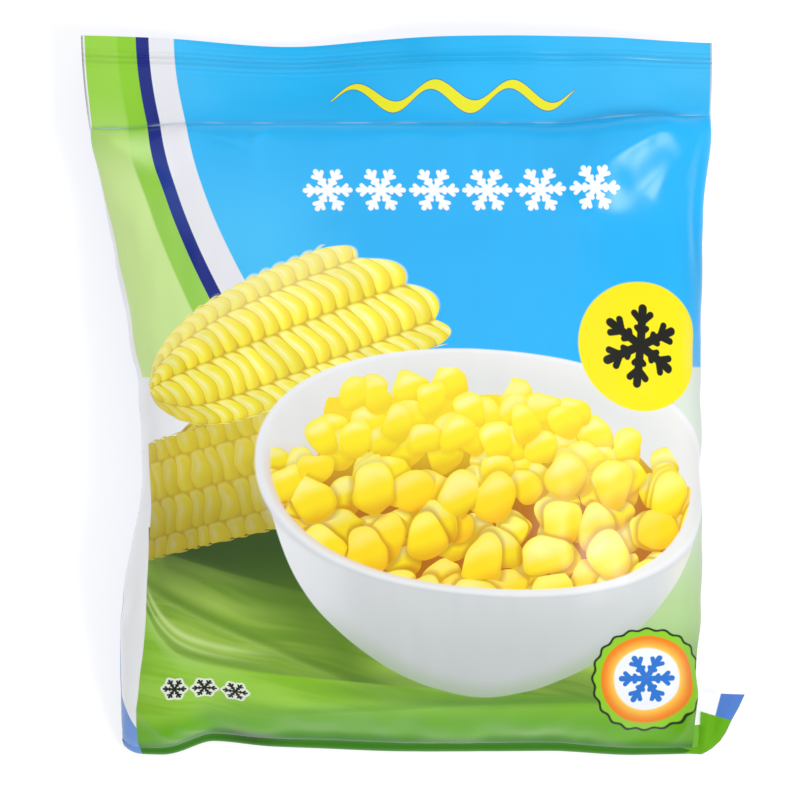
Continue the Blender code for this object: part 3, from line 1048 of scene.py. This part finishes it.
colour = laid(
    KERNEL_DEEP,
    (KERNEL, rise(light, -0.95, -0.15)),
    (KERNEL_LIGHT, rise(light, 0.0, 0.75) * 0.8),
    (KERNEL_DEEP, rise(shape, 0.76, 1.0) * rise(light, 0.4, -0.4) * 0.5),
    (ink(255, 253, 214), gloss * (far_side * 0.75 + 0.15)),
    (ink(246, 186, 16), rise(chance, 0.6, 0.95) * (0.5 - far_side * 0.4)),
    (ink(252, 250, 206), worn_tip * (far_side * 0.5 + 0.25)),
)
colour = shaded(colour, chance * 0.14 + 0.91)
pile = laid(
    ink(250, 200, 24),
    (KERNEL_GAP, rise(V, 114.0, 140.0)),
    (colour, more(1.5, shape)),
    (KERNEL_GAP, (1.0 - open_share) * (0.62 - far_side * 0.5)),
    (ink(255, 243, 50), far_side * 0.5),
)
heap_shape = both(heap, inside(rim_shape * (1.07 + rise(rim_x, 36.0, 66.0) * 0.06), 45.0, 0.3))
warm = inside(rim_shape * 1.065, 20.0, 0.6) * rise(rim_y, -6.0, 6.0) * rise(rim_x, 10.0, -30.0)
face = paint(face, ink(232, 184, 104), warm * 0.7)
face = paint(face, pile, heap_shape)

# one plain snowflake, drawn at each of its places: the title's row, the badge, the medal and the cold marks
BADGE_U, BADGE_V, BADGE_HALF_WIDE, BADGE_HALF_TALL = 66.8, 98.8, 19.6, 19.2
MEDAL_U, MEDAL_V, MEDAL_RADIUS = 71.3, 198.7, 18.6
TITLE_V, TITLE_START_U, TITLE_PITCH, TITLE_FLAKES = 51.0, -30.0, 15.5, 6
TITLE_END_U = TITLE_START_U + TITLE_PITCH * TITLE_FLAKES
MARK_U, MARK_V, MARK_TILT, MARK_PITCH, MARKS = -72.0, 203.0, 8.0, 9.5, 3


def in_row(x, pitch):
    """How far x is from the middle of its place in a row."""
    return calculate("FLOORED_MODULO", x, pitch) - pitch / 2


badge = ellipse(U - BADGE_U, V - BADGE_V, BADGE_HALF_WIDE, BADGE_HALF_TALL)
badge_x, badge_y = turned(U - 66.0, V - BADGE_V, -22.0)
medal_x, medal_y = U - MEDAL_U, V - MEDAL_V
medal_x = medal_x - medal_y * 0.1 - medal_x * medal_x * 0.0055
medal_y = medal_y - medal_y * medal_y * 0.008
mark_x, mark_y = turned(U - MARK_U, V - MARK_V, MARK_TILT)
mark_x = mark_x + 4.5
low_down = more(V, 150.0)
here = joined(in_row(U - TITLE_START_U, TITLE_PITCH), V - TITLE_V, 7.3)
here = paint(here, joined(badge_x, badge_y, 12.5), more(V, 75.0))
here = paint(here, joined(medal_x, medal_y, 9.2), low_down)
here = paint(here, joined(in_row(mark_x, MARK_PITCH), mark_y, 3.9), both(low_down, more(0.0, U)))
here_x, here_y, radius = parts_of(here)
flake_gap = snowflake(here_x / radius, here_y / radius, 1.0, 0.105) * radius
flake = within(flake_gap)

title_shape = both(both(flake, more(75.0, V)), both(more(U, TITLE_START_U), more(TITLE_END_U, U)))
face = laid(
    face,
    (BADGE_YELLOW, inside(badge, 19.0, 0.2)),
    (ink(26, 26, 20), both(flake, more(1.0, badge))),
    (ink(250, 252, 255), title_shape),
)

# a plain wave in the header
WAVE_U, WAVE_V, WAVE_HALF, WAVE_COUNT = 16.0, 18.0, 36.4, 0.27
wave_x = U - WAVE_U
wave_y = V - WAVE_V - calculate("SINE", wave_x * WAVE_COUNT) * 3.4
taper = root(most(1.0 - wave_x * wave_x / 1330.0, 0.0))
wave = size_of(wave_y) - (1.7 + calculate("SINE", wave_x * WAVE_COUNT + 1.2) * 0.7) * taper
wave_ends = past(WAVE_HALF - size_of(wave_x), 0.0)
face = paint(face, NAVY, both(rise(wave, 0.4, 0.15, soft=False), wave_ends) * 0.7)
face = paint(face, ink(240, 236, 30), both(within(wave), wave_ends))

# a medal of plain rings with a scalloped edge
medal = ellipse(medal_x, medal_y, MEDAL_RADIUS, MEDAL_RADIUS)
scallop = medal - calculate("COSINE", calculate("ARCTAN2", medal_y, medal_x) * 20.0) * 0.022
sunny = paint(ink(253, 214, 92), ink(240, 128, 24), rise(medal, 0.5, 0.82))
face = laid(
    face,
    (ink(22, 44, 20), inside(scallop, 18.0, 0.2)),
    (ink(140, 204, 40), inside(scallop * 1.05, 18.0, 0.2)),
    (sunny, inside(medal * 1.2, 18.0, 0.3)),
    (ink(238, 242, 248), inside(medal * 1.72, 11.0, 0.3)),
    (ink(42, 116, 205), both(flake, more(1.0, medal))),
)

# three plain cold marks, pale round their edges
marked = both(both(more(mark_x, 0.0), more(MARK_PITCH * MARKS, mark_x)), low_down)
face = paint(face, ink(232, 240, 222), both(rise(flake_gap, 0.85, 0.6, soft=False), marked))
face = paint(face, ink(22, 28, 22), both(flake, marked))

# painted shade down the right side, the side bands, and the back with its plain panel
face = shaded(face, 1.0 - rise(U, 78.0, 92.0) * rise(V, 50.0, 80.0) * 0.2)
left_edge = -92.4 + 4.9 * rise(V, 30.0, 105.0) + hill(V, 174.0, 28.0) * 9.0
right_edge = 93.0 - 2.4 * rise(V, 95.0, 118.0)
side_band = most(past(left_edge - U, 0.0), past(U - right_edge, 0.0))
panel_gap = most(size_of(size_of(U) - 145.0) - 25.0, size_of(V - 126.0) - 56.0)
corner = past(V - 207.0 - (U + 93.4) * 1.9, 0.0) * past(-1.0 * U, 80.0)
panel = laid(
    SIDE_WHITE,
    (BACK_BLUE, most(past(U, 106.0), past(-1.0 * U, 106.0))),
    (ink(214, 228, 246), past(-1.0 * panel_gap, 0.0)),
    (ink(112, 156, 226), corner),
    (BASE_GREEN, past(U, 80.0) * past(V, 218.0) * past(124.0 - U, 0.0)),
)
face = paint(face, panel, side_band)

# the crease under the header, with a painted highlight along it
CREASE_V = HEADER_LENGTH + 0.1
crease_glint = hill(V, CREASE_V, 0.5) * (0.2 + rise(noise(U, 3.0, 9.0, 0.0, 6.0), 0.4, 0.65) * 0.4)
face = paint(face, ink(190, 232, 255), crease_glint * past(100.0 - size_of(U), 0.0))

# the relief: the seals' fine ribs, the crease and the lap seal down the back
RIB_COUNT = 3.7
LAP_WIDTH = 6.4
ribs = calculate("SINE", V * RIB_COUNT + U * 0.012) * hill(V, 6.6, 2.6)
# painted shade in the grooves between the header seal's ribs
face = shaded(face, 1.0 - rise(ribs, 0.2, 0.9) * 0.10)
foot_ribs = calculate("SINE", V * RIB_COUNT) * past(V, 243.0)
crease = hill(V, CREASE_V, 0.7) * 0.4
lap = rise(size_of(U) - FLAT, -LAP_WIDTH, 0.6 - LAP_WIDTH) * more(V, 14.0)
relief = crease + (ribs + foot_ribs) * 0.16 + lap * 0.5
bumps = tree.nodes.new("ShaderNodeBump")
set_up(bumps, Strength=1.0, Distance=MM)
plug(bumps.inputs["Height"], relief)
plug(surface.inputs["Normal"], Field(bumps.outputs["Normal"]))

plug(surface.inputs["Base Color"], face)
surface.inputs["Roughness"].default_value = 0.27
surface.inputs["Specular IOR Level"].default_value = 0.3
film.data.materials.append(material)

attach(film, "root")
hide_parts("bag")

# ---------------------------------------------------------------- floor, lights and camera

FLOOR_GREY = (0.34, 0.34, 0.34, 1)
PURE_WHITE = (1, 1, 1, 1)

bpy.ops.mesh.primitive_plane_add(size=4)
floor = bpy.context.object
floor.name = "floor"
floor_material = bpy.data.materials.new("floor")
floor_material.use_nodes = True
floor_surface = floor_material.node_tree.nodes["Principled BSDF"]
set_up(floor_surface, Base_Color=FLOOR_GREY, Roughness=0.9, Emission_Color=PURE_WHITE, Emission_Strength=0.74)
floor.data.materials.append(floor_material)

world = bpy.data.worlds.new("studio")
bpy.context.scene.world = world
world.use_nodes = True
set_up(world.node_tree.nodes["Background"], Color=PURE_WHITE, Strength=0.52)


def area_light(name, place, size, power):
    """A soft lamp at a place, turned to the bag."""
    light = bpy.data.lights.new(name, "AREA")
    light.shape = "RECTANGLE"
    light.size, light.size_y = size
    light.energy = power
    lamp = bpy.data.objects.new(name, light)
    lamp.location = place
    lamp.rotation_euler = (-Vector(place)).to_track_quat("-Z", "Y").to_euler()
    bpy.context.scene.collection.objects.link(lamp)


area_light("overhead", (-0.1, 1.1, 1.8), (2.4, 2.0), 12)
area_light("key", (0.746, -0.346, 1.133), (0.38, 0.38), 8.6)

# straight above the bag: the frame is so wide at the height of the bag's outline
CAMERA_X, CAMERA_Y = -0.004, -0.001
OUTLINE_HEIGHT = 0.015
DISTANCE = 1.6
FRAME_WIDTH = 0.236
SENSOR = 36
camera_data = bpy.data.cameras.new("camera")
camera = bpy.data.objects.new("camera", camera_data)
bpy.context.scene.collection.objects.link(camera)
bpy.context.scene.camera = camera
camera.location = (CAMERA_X, CAMERA_Y, OUTLINE_HEIGHT + DISTANCE)
camera_data.sensor_width = SENSOR
camera_data.lens = SENSOR * DISTANCE / FRAME_WIDTH

bpy.context.scene.view_settings.view_transform = "Standard"
